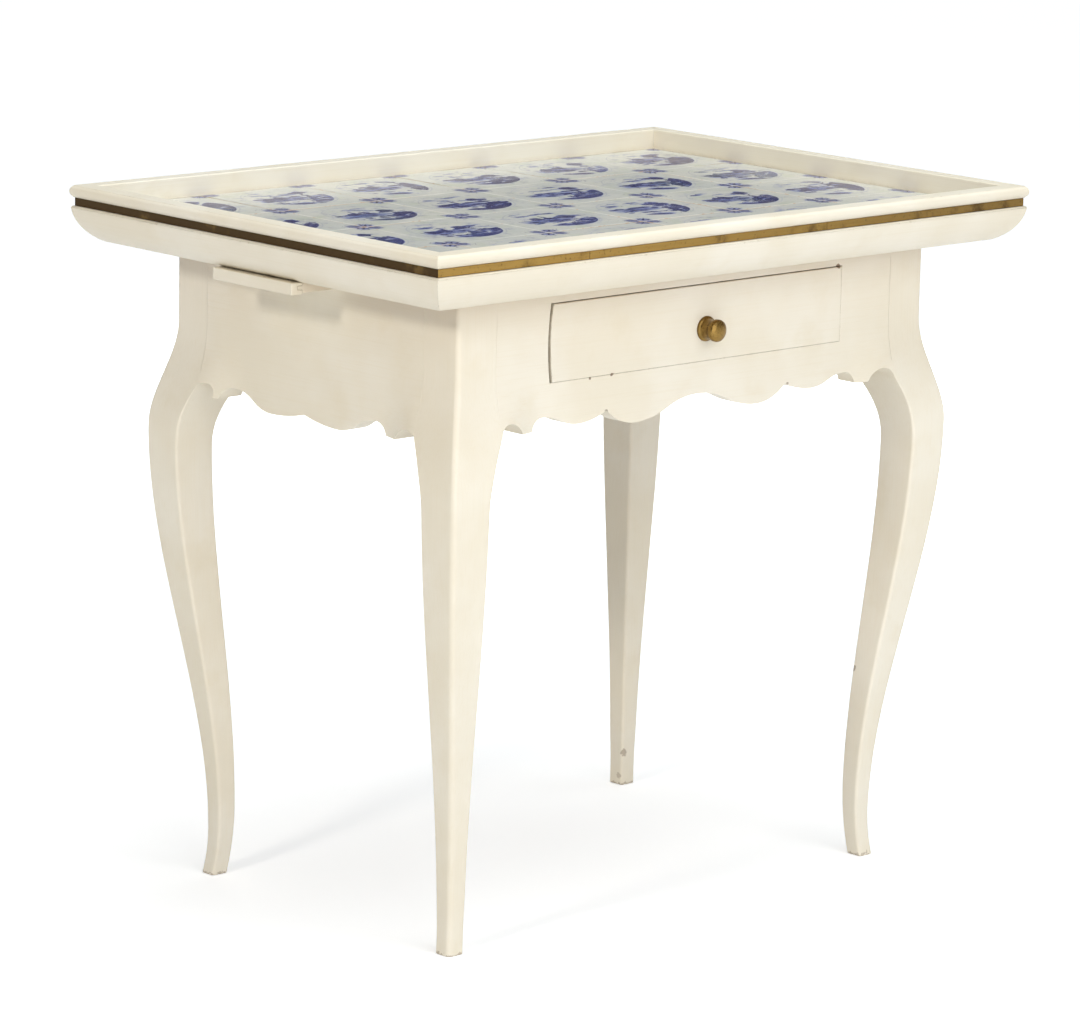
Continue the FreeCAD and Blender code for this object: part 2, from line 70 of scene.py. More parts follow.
# small helpers for shader nodes
def feed(tree, socket, source):
    # links a node's output, or sets a constant
    if isinstance(source, bpy.types.NodeSocket):
        tree.links.new(source, socket)
    else:
        socket.default_value = source


def put(tree, kind, links=None, **settings):
    made = tree.nodes.new("ShaderNode" + kind)
    for key, value in settings.items():
        setattr(made, key, value)
    for socket, source in (links or {}).items():
        feed(tree, made.inputs[socket], source)
    return made


def calc(tree, operation, *values, clamp=False):
    links = dict(enumerate(values))
    return put(tree, "Math", links, operation=operation, use_clamp=clamp).outputs[0]


def times(tree, a, b):
    return calc(tree, "MULTIPLY", a, b)


def plus(tree, a, b):
    return calc(tree, "ADD", a, b)


def minus(tree, a, b):
    return calc(tree, "SUBTRACT", a, b)


def most(tree, a, b):
    return calc(tree, "MAXIMUM", a, b)


def vary(tree, vector, scale, detail=2.0, roughness=0.5):
    links = {"Vector": vector, "Scale": scale, "Detail": detail, "Roughness": roughness}
    return put(tree, "TexNoise", links).outputs["Fac"]


def step(tree, value, low, high):
    # smooth 0 to 1 while value goes from low to high, either way round
    links = {"Value": value, "From Min": low, "From Max": high, "To Min": 0.0, "To Max": 1.0}
    return put(tree, "MapRange", links, interpolation_type="SMOOTHSTEP").outputs[0]


def mixColour(tree, factor, a, b):
    # sockets 6, 7 and 2 are the mix node's colours
    return put(tree, "Mix", {0: factor, 6: a, 7: b}, data_type="RGBA").outputs[2]


def stretched(tree, vector, across, lengthwise, along):
    # noise coordinates drawn out along one axis
    scale = [across] * 3
    scale[along] = lengthwise
    return put(tree, "Mapping", {"Vector": vector, "Scale": scale}).outputs[0]


def bumped(tree, relief, strength, depth):
    return put(tree, "Bump", {"Strength": strength, "Distance": depth, "Height": relief}).outputs[0]


def startMaterial(name):
    material = bpy.data.materials.new(name)
    material.use_nodes = True
    tree = material.node_tree
    shader = tree.nodes["Principled BSDF"]
    place = put(tree, "TexCoord").outputs["Object"]
    return material, tree, shader, place


def give(tree, shader, **sockets):
    for name, source in sockets.items():
        feed(tree, shader.inputs[name.replace("_", " ")], source)


def colour(red, green, blue):
    # colour picked in 0 to 255 screen values
    def linear(value):
        value /= 255
        return value / 12.92 if value <= 0.04045 else ((value + 0.055) / 1.055) ** 2.4
    return (linear(red), linear(green), linear(blue), 1.0)


# old cream oil paint, brushed along the length of each piece
paintFinish = {
    "cream": colour(241, 233, 214),
    "pale": colour(246, 240, 225),
    "yellowed": colour(233, 221, 193),
    # dirt colour, also used as painted shade in hollows
    "grime": colour(176, 158, 126),
    "primer": colour(203, 190, 162),
    # painted shade colour for narrow gaps
    "gap": colour(78, 64, 46),
    "wood": colour(122, 92, 60),
    "roughness": 0.42,
    "strokeWidth": 620.0,
    "strokeLength": 9.0,
    "wideWidth": 170.0,
    "wideLength": 5.0,
    "agedAmount": 0.3,
    "thinAmount": 0.16,
    "hollowReach": 0.009,
    "grimeAmount": 0.7,
    "gapAmount": 0.75,
    "rubRadius": 0.0022,
    "rubAmount": 0.6,
    "scuffHeight": 0.006,
    "scuffRagged": 0.02,
    "scuffAmount": 0.45,
    "chipRagged": 2.4,
}

# where paint has come off: place and radius in metres, and how far down to the wood
paintChips = [
    ((0.1994, -0.2172, 0.6552), 0.0032, 0.85),
    ((-0.1206, -0.2172, 0.5755), 0.0024, 0.85),
    ((-0.1507, -0.2172, 0.5745), 0.0020, 0.85),
    ((0.2704, -0.2680, 0.6909), 0.0026, 0.6),
    ((-0.1270, -0.2172, 0.5392), 0.0024, 0.6),
    ((0.1300, -0.2172, 0.5395), 0.0018, 0.6),
    ((0.0360, -0.2172, 0.5300), 0.0022, 0.6),
    ((0.2858, 0.1722, 0.0400), 0.0048, 0.5),
    ((0.2848, 0.1800, 0.0110), 0.0042, 0.35),
    ((0.2872, -0.1774, 0.2060), 0.0044, 0.55),
]


def makePaint(along):
    f = paintFinish
    material, tree, shader, place = startMaterial("creamPaint" + "XYZ"[along])
    strokes = vary(tree, stretched(tree, place, f["strokeWidth"], f["strokeLength"], along), 1.0, 4.0, 0.62)
    wide = vary(tree, stretched(tree, place, f["wideWidth"], f["wideLength"], along), 1.0)
    clouds = vary(tree, place, 6.5, 3.0, 0.6)
    specks = vary(tree, place, 820.0, 2.0, 0.7)
    base = mixColour(tree, step(tree, clouds, 0.36, 0.66), f["cream"], f["pale"])
    aged = step(tree, vary(tree, place, 17.0, 4.0, 0.65), 0.52, 0.78)
    base = mixColour(tree, times(tree, aged, f["agedAmount"]), base, f["yellowed"])
    thin = step(tree, strokes, 0.55, 0.3)
    base = mixColour(tree, times(tree, thin, f["thinAmount"]), base, f["yellowed"])
    # dirt and painted shade settle in hollows where pieces meet, read from ambient occlusion, and narrow gaps
    # get dark painted shade
    hollow = put(tree, "AmbientOcclusion", {"Distance": f["hollowReach"]}, samples=6).outputs["AO"]
    joined = put(tree, "Attribute", attribute_name="joined").outputs["Fac"]
    loose = calc(tree, "SUBTRACT", 1.0, joined, clamp=True)
    patchy = step(tree, vary(tree, place, 60.0, 4.0, 0.7), 0.32, 0.72)
    # painted shade together with patchy dirt: darker where ambient occlusion finds a hollow
    dirtAndShade = times(tree, times(tree, step(tree, hollow, 0.62, 0.12), patchy), loose)
    base = mixColour(tree, times(tree, dirtAndShade, f["grimeAmount"]), base, f["grime"])
    # painted shade: narrow gaps darkened to dark brown where ambient occlusion is very low
    gap = times(tree, step(tree, hollow, 0.2, 0.04), loose)
    base = mixColour(tree, times(tree, gap, f["gapAmount"]), base, f["gap"])
    # rubbed edges
    rounded = put(tree, "Bevel", {"Radius": f["rubRadius"]}, samples=4).outputs["Normal"]
    normal = put(tree, "NewGeometry").outputs["True Normal"]
    turn = put(tree, "VectorMath", {0: rounded, 1: normal}, operation="DOT_PRODUCT").outputs["Value"]
    worn = step(tree, vary(tree, place, 95.0, 5.0, 0.7), 0.56, 0.66)
    rub = times(tree, times(tree, step(tree, turn, 0.985, 0.9), worn), loose)
    base = mixColour(tree, times(tree, rub, f["rubAmount"]), base, f["primer"])
    # feet scuffed on the floor, and the knocks
    height = put(tree, "SeparateXYZ", {0: place}).outputs["Z"]
    ragged = minus(tree, vary(tree, place, 210.0, 4.0, 0.7), 0.5)
    low = plus(tree, height, times(tree, ragged, f["scuffRagged"]))
    scuff = step(tree, low, f["scuffHeight"] * 0.5, f["scuffHeight"] * 0.1)
    bare = times(tree, scuff, f["scuffAmount"])
    for spot, radius, depth in paintChips:
        away = put(tree, "VectorMath", {0: place, 1: spot}, operation="DISTANCE").outputs["Value"]
        away = plus(tree, away, times(tree, ragged, radius * f["chipRagged"]))
        bare = most(tree, bare, times(tree, step(tree, away, radius, radius * 0.7), depth))
    base = mixColour(tree, bare, base, f["wood"])
    gloss = plus(tree, f["roughness"] - 0.06, times(tree, wide, 0.14))
    gloss = plus(tree, gloss, times(tree, bare, 0.3))
    relief = plus(tree, strokes, times(tree, wide, 1.6))
    relief = plus(tree, relief, times(tree, specks, 0.35))
    relief = minus(tree, relief, times(tree, bare, 2.0))
    give(tree, shader, Base_Color=base, Roughness=gloss, Normal=bumped(tree, relief, 0.32, 0.0003))
    return material


# bare softwood inside the stand and the drawer
woodFinish = {
    "early": colour(196, 160, 112),
    "late": colour(150, 108, 66),
    "grey": colour(140, 122, 98),
    "roughness": 0.68,
    "ringPitch": 95.0,
    "ringBend": 3.4,
    "fibre": 0.035,
}


def makeWood(along):
    f = woodFinish
    material, tree, shader, place = startMaterial("bareWood" + "XYZ"[along])
    fibre = stretched(tree, place, 1.0, f["fibre"], along)
    bend = vary(tree, fibre, 16.0, 3.0, 0.55)
    across = put(tree, "SeparateXYZ", {0: fibre}).outputs[(along + 1) % 3]
    rings = plus(tree, times(tree, across, f["ringPitch"]), times(tree, bend, f["ringBend"]))
    late = step(tree, calc(tree, "FRACT", rings), 0.35, 0.95)
    pores = vary(tree, fibre, 900.0, 3.0, 0.7)
    base = mixColour(tree, times(tree, late, 0.75), f["early"], f["late"])
    base = mixColour(tree, times(tree, step(tree, pores, 0.5, 0.72), 0.35), base, f["late"])
    base = mixColour(tree, times(tree, vary(tree, place, 9.0, 4.0, 0.65), 0.55), base, f["grey"])
    relief = plus(tree, times(tree, late, 0.6), pores)
    gloss = plus(tree, f["roughness"], times(tree, pores, 0.15))
    give(tree, shader, Base_Color=base, Roughness=gloss, Normal=bumped(tree, relief, 0.3, 0.0003))
    return material


# aged brass of the band and the knob, with painted shade making it darker towards the right
brassFinish = {
    "bright": colour(178, 145, 78),
    "dull": colour(150, 116, 58),
    "tarnish": colour(74, 54, 30),
    # near-black colour mixed in as painted shade
    "deep": (0.03, 0.018, 0.008, 1.0),
    "deepFrom": -0.3,
    "deepTo": 0.42,
    "deepAmount": 0.4,
    "deepMost": 0.6,
    "drawnWidth": 700.0,
    "drawnLength": 14.0,
    "hollowReach": 0.006,
    "metallic": 0.9,
}


def makeBrass(name, along, tarnished, shade, roughness):
    f = brassFinish
    material, tree, shader, place = startMaterial(name)
    drawn = vary(tree, stretched(tree, place, f["drawnWidth"], f["drawnLength"], along), 1.0, 3.0, 0.6)
    patch = vary(tree, place, 26.0, 5.0, 0.68)
    spots = vary(tree, place, 330.0, 4.0, 0.7)
    old = step(tree, patch, 0.75 - tarnished * 0.6, 0.95 - tarnished * 0.55)
    base = mixColour(tree, drawn, f["dull"], f["bright"])
    base = mixColour(tree, times(tree, old, 0.85), base, f["tarnish"])
    base = mixColour(tree, times(tree, step(tree, spots, 0.58, 0.7), 0.7), base, f["tarnish"])
    hollow = put(tree, "AmbientOcclusion", {"Distance": f["hollowReach"]}, samples=6).outputs["AO"]
    base = mixColour(tree, times(tree, step(tree, hollow, 0.7, 0.15), 0.75), base, f["tarnish"])
    # painted shade: the brass darkens towards the right, and all over where a copy's shade is below 1
    shadeRightwards = step(tree, put(tree, "SeparateXYZ", {0: place}).outputs["X"], f["deepFrom"], f["deepTo"])
    dim = plus(tree, 1.0 - shade, times(tree, shadeRightwards, f["deepAmount"]))
    base = mixColour(tree, calc(tree, "MINIMUM", dim, f["deepMost"]), base, f["deep"])
    gloss = plus(tree, roughness - 0.08, times(tree, old, 0.22))
    gloss = plus(tree, gloss, times(tree, drawn, 0.12))
    bump = bumped(tree, plus(tree, drawn, spots), 0.25, 0.0002)
    give(tree, shader, Base_Color=base, Roughness=gloss, Metallic=f["metallic"], Normal=bump)
    return material


# tin glaze with cobalt painting, read from what is painted on each tile's points, in millimetres
tileHalf = 65.0
glazeFinish = {
    "ground": colour(206, 208, 203),
    "milky": colour(218, 217, 209),
    "greenish": colour(196, 202, 180),
    "paleWash": colour(136, 146, 188),
    "midWash": colour(58, 70, 140),
    "cobalt": colour(34, 40, 104),
    "teal": colour(30, 64, 92),
    "violet": colour(58, 46, 92),
    "clay": colour(176, 140, 104),
    "craze": colour(150, 138, 118),
    "lineReach": 6.0,
    "bleed": 0.3,
    "bleedEnd": 78.0,
    "bleedFull": 44.0,
    "ringRadius": 50.5,
    "ringWidth": 0.95,
    "ringInk": 0.16,
    "innerRingRadius": 47.6,
    "innerRingWidth": 0.5,
    "innerRingInk": 0.8,
    "specular": 0.28,
}


def makeGlaze():
    f = glazeFinish
    material, tree, shader, place = startMaterial("tileGlaze")
    spot = put(tree, "Attribute", attribute_name="spot").outputs["Vector"]
    painted = put(tree, "Attribute", attribute_name="paint").outputs["Color"]
    wash, line, tint = put(tree, "SeparateColor", {0: painted}).outputs
    x, y, _ = put(tree, "SeparateXYZ", {0: spot}).outputs
    radius = calc(tree, "SQRT", plus(tree, times(tree, x, x), times(tree, y, y)))
    wobble = minus(tree, vary(tree, spot, 0.11, 3.0, 0.55), 0.5)
    hand = plus(tree, radius, times(tree, wobble, 2.2))
    rough = vary(tree, spot, 1.1, 3.0, 0.6)
    pressure = vary(tree, spot, 0.09)

    def ring(middle, width):
        off = calc(tree, "ABSOLUTE", minus(tree, hand, middle))
        wide = times(tree, width, plus(tree, 0.35, pressure))
        return step(tree, minus(tree, off, wide), 0.35, -0.25)

    inner = times(tree, ring(f["innerRingRadius"], f["innerRingWidth"]), f["innerRingInk"])
    rings = most(tree, ring(f["ringRadius"], f["ringWidth"]), inner)
    # line holds distance from the nearest stroke, 0.5 at its edge
    edge = times(tree, minus(tree, line, 0.5), f["lineReach"])
    edge = plus(tree, edge, times(tree, minus(tree, rough, 0.5), 0.9))
    strokes = step(tree, edge, 0.32, -0.3)
    pooled = vary(tree, spot, 0.3, 4.0, 0.62)
    watery = times(tree, wash, plus(tree, 0.5, pooled))
    inked = times(tree, strokes, plus(tree, 0.45, times(tree, pooled, 0.8)))
    inked = times(tree, inked, plus(tree, 0.5, step(tree, tint, 0.0, 0.6)))
    depth = most(tree, most(tree, watery, inked), times(tree, rings, f["ringInk"]))
    bled = times(tree, step(tree, vary(tree, spot, 0.085, 5.0, 0.7), 0.42, 0.72), f["bleed"])
    bled = times(tree, bled, step(tree, radius, f["bleedEnd"], f["bleedFull"]))
    depth = most(tree, depth, bled)
    milk = step(tree, vary(tree, place, 14.0, 3.0, 0.6), 0.35, 0.68)
    ground = mixColour(tree, milk, f["ground"], f["milky"])
    moss = step(tree, vary(tree, place, 31.0, 3.0, 0.6), 0.5, 0.72)
    ground = mixColour(tree, times(tree, moss, 0.6), ground, f["greenish"])
    blue = put(tree, "ValToRGB", {0: depth})
    ramp = blue.color_ramp
    ramp.elements[0].position, ramp.elements[0].color = 0.3, f["paleWash"]
    ramp.elements[1].position, ramp.elements[1].color = 0.82, f["cobalt"]
    ramp.elements.new(0.55).color = f["midWash"]
    pigment = mixColour(tree, times(tree, step(tree, tint, 0.55, 0.95), 0.5), blue.outputs[0], f["teal"])
    pigment = mixColour(tree, times(tree, step(tree, tint, 0.4, 0.05), 0.4), pigment, f["violet"])
    base = mixColour(tree, step(tree, depth, 0.02, 0.42), ground, pigment)
    # fine crazing and pinholes in the glaze
    cracks = put(tree, "TexVoronoi", {"Vector": spot, "Scale": 0.16}, feature="DISTANCE_TO_EDGE")
    craze = step(tree, cracks.outputs["Distance"], 0.022, 0.006)
    craze = times(tree, craze, step(tree, vary(tree, spot, 0.05), 0.4, 0.65))
    base = mixColour(tree, times(tree, craze, 0.4), base, f["craze"])
    holes = put(tree, "TexVoronoi", {"Vector": spot, "Scale": 0.13}).outputs["Distance"]
    pin = step(tree, holes, 0.055, 0.03)
    base = mixColour(tree, times(tree, pin, 0.65), base, f["clay"])
    # edges where the glaze has chipped away
    inset = minus(tree, tileHalf, most(tree, calc(tree, "ABSOLUTE", x), calc(tree, "ABSOLUTE", y)))
    flake = times(tree, minus(tree, vary(tree, spot, 0.16, 4.0, 0.65), 0.56), 16.0)
    chipped = step(tree, minus(tree, inset, most(tree, flake, 0.1)), 0.25, -0.15)
    base = mixColour(tree, times(tree, chipped, 0.9), base, f["clay"])
    wave = vary(tree, spot, 0.045)
    relief = plus(tree, times(tree, wave, 3.0), times(tree, rough, 0.12))
    relief = minus(tree, relief, times(tree, plus(tree, pin, chipped), 0.8))
    bump = bumped(tree, relief, 0.35, 0.0004)
    gloss = plus(tree, 0.13, times(tree, pooled, 0.12))
    gloss = plus(tree, gloss, times(tree, chipped, 0.5))
    give(tree, shader, Base_Color=base, Roughness=gloss, Normal=bump, Specular_IOR_Level=f["specular"])
    return material


# sandy grout between the tiles
groutFinish = {"grey": colour(198, 194, 180), "dark": colour(158, 150, 134), "roughness": 0.9}


def makeGrout():
    f = groutFinish
    material, tree, shader, place = startMaterial("tileGrout")
    sand = vary(tree, place, 1400.0, 3.0, 0.75)
    stain = vary(tree, place, 24.0, 4.0, 0.65)
    base = mixColour(tree, step(tree, stain, 0.35, 0.7), f["grey"], f["dark"])
    base = mixColour(tree, times(tree, step(tree, sand, 0.5, 0.75), 0.4), base, f["dark"])
    give(tree, shader, Base_Color=base, Roughness=f["roughness"], Normal=bumped(tree, sand, 0.6, 0.0004))
    return material


paint = [makePaint(axis) for axis in range(3)]
wood = [makeWood(axis) for axis in range(3)]
# the bands along Y are a shaded copy: more tarnish and darker brass, as painted shade
bandBrass = [makeBrass("bandBrassX", 0, tarnished=0.4, shade=1.0, roughness=0.36),
             makeBrass("bandBrassY", 1, tarnished=0.9, shade=0.5, roughness=0.36)]
# the knob's brass is darkened a little all over by the same mix
knobBrass = makeBrass("knobBrass", 1, tarnished=0.45, shade=0.8, roughness=0.3)
glaze = makeGlaze()
grout = makeGrout()
print("materials made")


# piece helpers
pieceSettings = {
    "smoothAngle": 38.0,
    "normalWeight": 60,
    "weld": 2e-5,
    "flat": 0.004,
    "crease": 0.6,
    "slack": 1e-7,
}


def finishPiece(bm, name, replaced, material, smoothAngle=pieceSettings["smoothAngle"], weighted=True):
    mesh = bpy.data.meshes.new(name)
    bm.to_mesh(mesh)
    bm.free()
    mesh.shade_smooth()
    mesh.set_sharp_from_angle(angle=math.radians(smoothAngle))
    mesh.materials.append(material)
    piece = bpy.data.objects.new(name, mesh)
    scene.collection.objects.link(piece)
    if weighted:
        even = piece.modifiers.new("evenShading", "WEIGHTED_NORMAL")
        even.keep_sharp = True
        even.weight = pieceSettings["normalWeight"]
    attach(piece, bodyOf[replaced[0]])
    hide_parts(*replaced)
    return piece


def mergedCopy(*names):
    bm = bmesh.new()
    for name in names:
        bm.from_mesh(nodes[name].data)
    bmesh.ops.remove_doubles(bm, verts=bm.verts[:], dist=pieceSettings["weld"])
    bmesh.ops.dissolve_limit(bm, angle_limit=pieceSettings["flat"], verts=bm.verts[:], edges=bm.edges[:])
    return bm


def middleOf(edge):
    return (edge.verts[0].co + edge.verts[1].co) / 2


def sharpEdges(bm, where=None):
    least = pieceSettings["crease"]
    found = [e for e in bm.edges if len(e.link_faces) == 2 and e.calc_face_angle() > least]
    return [e for e in found if where is None or where(middleOf(e))]


def soften(bm, edges, width, segments=2):
    bmesh.ops.bevel(bm, geom=edges, offset=width, offset_type="OFFSET", segments=segments, profile=0.5,
                    affect="EDGES", clamp_overlap=True, material=-1)


def divideLong(bm, longest):
    # cuts long edges into pieces of about this length, for hand-worked unevenness
    for cuts in (15, 3, 1):
        edges = [e for e in bm.edges if e.calc_length() > longest * (cuts + 0.6)]
        if edges:
            bmesh.ops.subdivide_edges(bm, edges=edges, cuts=cuts, use_grid_fill=True)


def unevenly(bm, depth, pitch, fadeFrom=10.0, fadeTo=11.0):
    # lets the surface sink a little here and there, never outwards, fading out between the two heights
    bm.normal_update()
    for v in bm.verts:
        kept = min(max((fadeTo - v.co.z) / (fadeTo - fadeFrom), 0), 1)
        v.co -= v.normal * depth * kept * (0.5 + 0.5 * noise.noise(v.co / pitch))


def sliceAt(bm, point, normal, clear=False):
    # cuts a mesh along a plane, and gives the edges of the cut
    everything = bm.verts[:] + bm.edges[:] + bm.faces[:]
    cut = bmesh.ops.bisect_plane(bm, geom=everything, dist=pieceSettings["slack"], plane_co=point,
                                 plane_no=normal, clear_outer=clear)["geom_cut"]
    return [e for e in cut if isinstance(e, bmesh.types.BMEdge)]


def cutAt(name, point, normal):
    # a copy of a node cut along a plane, and the edges of the cut
    bm = mergedCopy(name)
    return bm, sliceAt(bm, point, normal)


# tray rim: the moulding runs round as one loop, softened, then cut at the mitres
rimSettings = {
    "sectionAt": 0.01,
    "straight": 0.02,
    "arris": 0.0016,
    "segments": 3,
    "sink": 0.00022,
    "pitch": 0.05,
    "divide": 0.03,
}


def makeRim():
    s = rimSettings
    low, high = cadBox
    bm, loop = cutAt("rim_front", (s["sectionAt"], 0, 0), (1, 0, 0))
    keep = {v for e in loop for v in e.verts}
    bmesh.ops.delete(bm, geom=bm.faces[:], context="FACES_ONLY")
    bmesh.ops.delete(bm, geom=[v for v in bm.verts if v not in keep], context="VERTS")
    bmesh.ops.delete(bm, geom=[e for e in bm.edges if e not in loop], context="EDGES")
    bmesh.ops.dissolve_limit(bm, angle_limit=s["straight"], verts=bm.verts[:], edges=bm.edges[:])
    section = bm.edges[:]
    points = list({v for e in section for v in e.verts})
    corners = []
    for sideX, sideY in ((1, -1), (1, 1), (-1, 1), (-1, -1)):
        copy = bmesh.ops.duplicate(bm, geom=section + points)["geom"]
        for v in (v for v in copy if isinstance(v, bmesh.types.BMVert)):
            inset = v.co.y - low.y   # depth behind the outer face
            v.co.x = sideX * (high.x - inset)
            v.co.y = sideY * (high.y - inset)
        corners.append([e for e in copy if isinstance(e, bmesh.types.BMEdge)])
    bmesh.ops.delete(bm, geom=points, context="VERTS")
    for a, b in zip(corners, corners[1:] + corners[:1]):
        bmesh.ops.bridge_loops(bm, edges=a + b)
    bmesh.ops.recalc_face_normals(bm, faces=bm.faces[:])
    soften(bm, sharpEdges(bm), s["arris"], s["segments"])
    rimSides = {"rim_front": (0, -1), "rim_back": (0, 1), "rim_left": (-1, 0), "rim_right": (1, 0)}
    for name, (outX, outY) in rimSides.items():
        part = bm.copy()
        for side in (-1, 1):
            corner = Vector((high.x * (outX or side), high.y * (outY or side), 0))
            normal = Vector((side if outX == 0 else -outX, side if outY == 0 else -outY, 0)).normalized()
            bmesh.ops.edgenet_fill(part, edges=sliceAt(part, corner, normal, clear=True))
        divideLong(part, s["divide"])
        unevenly(part, s["sink"], s["pitch"])
        finishPiece(part, name + "Moulding", [name], paint[0 if outX == 0 else 1])
    bm.free()


makeRim()
print("rim moulded")


# brass band let into the rim
bandSettings = {"arris": 0.0005, "divide": 0.025, "sink": 0.0002, "pitch": 0.04}


def makeBands():
    s = bandSettings
    for side in ("front", "back", "left", "right"):
        name = "brass_band_" + side
        bm = mergedCopy(name)
        soften(bm, sharpEdges(bm), s["arris"])
        divideLong(bm, s["divide"])
        unevenly(bm, s["sink"], s["pitch"])
        finishPiece(bm, "brassBand" + side.capitalize(), [name],
                    bandBrass[0 if side in ("front", "back") else 1])


makeBands()
print("bands let in")


# cabriole legs, sawn square to the outline of the frame, their arrises rounded ring by ring
legSettings = {
    "rings": 96,
    "endInset": 2e-4,
    "cubeArris": 0.25,
    "outerArris": 0.0058,
    "sideArris": 0.0036,
    "leastArris": 0.00005,
    "segments": 4,
    "footArris": 0.001,
    "footWithin": 1e-4,
    "sink": 0.0003,
    "pitch": 0.06,
    "joinLevel": 0.534,
    "joinMargin": 0.012,
    "fadeLevel": 0.48,
}


def legOutline(levels):
    # outer and inner reach of the front left leg at each height, along X and along Y
    reach = []
    for level in levels:
        bm, loop = cutAt("leg_front_left", (0, 0, level), (0, 0, 1))
        places = [v.co for e in loop for v in e.verts]
        reach.append([end(p[axis] for p in places) for axis in range(2) for end in (min, max)])
        bm.free()
    return np.array(reach)


def uprightEdges(bm):
    return [e for e in bm.edges if abs(e.verts[0].co.z - e.verts[1].co.z) > 0.5]


def makeLegs():
    # each leg starts as a cube with rounded corners, cut into rings that are drawn out to the outline
    s = legSettings
    low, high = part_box("leg_front_left")
    levels = np.linspace(low.z, high.z, s["rings"] + 1)
    reach = legOutline(np.clip(levels, low.z + s["endInset"], high.z - s["endInset"]))
    for ends in ("front_left", "front_right", "back_left", "back_right"):
        flipX = -1 if ends.endswith("right") else 1
        flipY = -1 if ends.startswith("back") else 1
        bm = bmesh.new()
        bmesh.ops.create_cube(bm, size=1.0)
        soften(bm, uprightEdges(bm), s["cubeArris"], s["segments"])
        bmesh.ops.subdivide_edges(bm, edges=uprightEdges(bm), cuts=s["rings"] - 1, use_grid_fill=True)
        joined = bm.verts.layers.float.new("joined")
        for v in bm.verts:
            share = v.co.z + 0.5
            level = low.z + share * (high.z - low.z)
            row = [np.interp(share, np.linspace(0, 1, len(levels)), reach[:, k]) for k in range(4)]
            outX, outY = v.co.x < 0, v.co.y < 0
            # the side arrises fade out where the aprons join
            if outX and outY:
                radius = s["outerArris"]
            else:
                radius = np.interp(level, (s["fadeLevel"], s["joinLevel"]), (s["sideArris"], s["leastArris"]))
                v[joined] = float(level > s["joinLevel"] - s["joinMargin"])
            insetX = radius * (0.5 - abs(v.co.x)) / s["cubeArris"]
            insetY = radius * (0.5 - abs(v.co.y)) / s["cubeArris"]
            v.co = ((row[0] + insetX if outX else row[1] - insetX) * flipX,
                    (row[2] + insetY if outY else row[3] - insetY) * flipY, level)
        bmesh.ops.recalc_face_normals(bm, faces=bm.faces[:])
        if bm.calc_volume(signed=True) < 0:
            bmesh.ops.reverse_faces(bm, faces=bm.faces[:])
        soften(bm, sharpEdges(bm, lambda p: p.z < low.z + s["footWithin"]), s["footArris"])
        unevenly(bm, s["sink"], s["pitch"], s["fadeLevel"], s["joinLevel"])
        for v in bm.verts:
            v.co.z = max(v.co.z, low.z)
        title = "cabrioleLeg" + ends.title().replace("_", "")
        finishPiece(bm, title, ["leg_" + ends], paint[2])
    return levels, reach


legReach = makeLegs()
print("legs shaped")


# scalloped aprons with eased lower edges
apronSettings = {
    "arris": 0.0014,
    "segments": 2,
    "shoulder": 0.0012,
    "blend": 0.062,
    "cutPitch": 0.006,
    "firstCut": 0.0006,
    "lowestCut": 0.004,
    "kneeTop": 0.606,
    "flush": 0.0008,
    "joinWithin": 0.002,
    "faceWithin": 1e-4,
}


def carveEnds(bm, legReach, lengthwise, faceSide):
    # brings both ends of the face forward, so that they run into the knees of the legs
    s = apronSettings
    facing = 1 - lengthwise
    span = -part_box("leg_front_left")[1][lengthwise]
    levels, outline = legReach
    outer = -outline[:, 0 if lengthwise == 1 else 2]
    post = outer[-1]
    normal = Vector((0, 0, 0))
    normal[lengthwise] = 1
    for k in range(int(s["blend"] / s["cutPitch"]) + 1):
        for side in (-1, 1):
            at = Vector((0, 0, 0))
            at[lengthwise] = side * (span - k * s["cutPitch"] - s["firstCut"])
            sliceAt(bm, at, normal)
    bottom = min(v.co.z for v in bm.verts)
    for level in np.arange(bottom + s["lowestCut"], s["kneeTop"], s["cutPitch"]):
        sliceAt(bm, (0, 0, level), (0, 0, 1))
    face = max(abs(v.co[facing]) for v in bm.verts)
    joined = bm.verts.layers.float.new("joined")
    for v in bm.verts:
        along = abs(v.co[lengthwise])
        v[joined] = float(along > span - s["joinWithin"])
        if face - abs(v.co[facing]) < s["faceWithin"] and along < span + s["faceWithin"]:
            share = min(max(1 - (span - along) / s["blend"], 0), 1)
            share = share * share * (3 - 2 * share)
            bulge = np.interp(v.co.z, levels, outer) - post + s["flush"]
            v.co[facing] += faceSide * share * bulge


def makeAprons():
    s = apronSettings
    for side in ("front", "back", "left", "right"):
        name = "apron_" + side
        lengthwise = 0 if side in ("front", "back") else 1
        low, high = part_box("leg_front_left")
        shoulder = min(abs(low[lengthwise]), abs(high[lengthwise])) - s["shoulder"]
        bm = mergedCopy(name)
        carveEnds(bm, legReach, lengthwise, -1 if side in ("front", "left") else 1)
        edges = sharpEdges(bm, lambda p: abs(p[lengthwise]) < shoulder)
        soften(bm, edges, s["arris"], s["segments"])
        finishPiece(bm, "scallopedApron" + side.capitalize(), [name], paint[lengthwise])


makeAprons()
print("aprons scalloped")


# drawer front, its edges moved for uneven gaps, and the two candle slides
smallWood = {
    "leftOpen": 0.0018,
    "leftWithin": 0.006,
    "rightClose": 0.0006,
    "rightWithin": 0.001,
    "bottomClose": 0.0008,
    "bottomWithin": 0.0005,
    "boardArris": 0.0011,
    "clampArris": 0.0012,
}


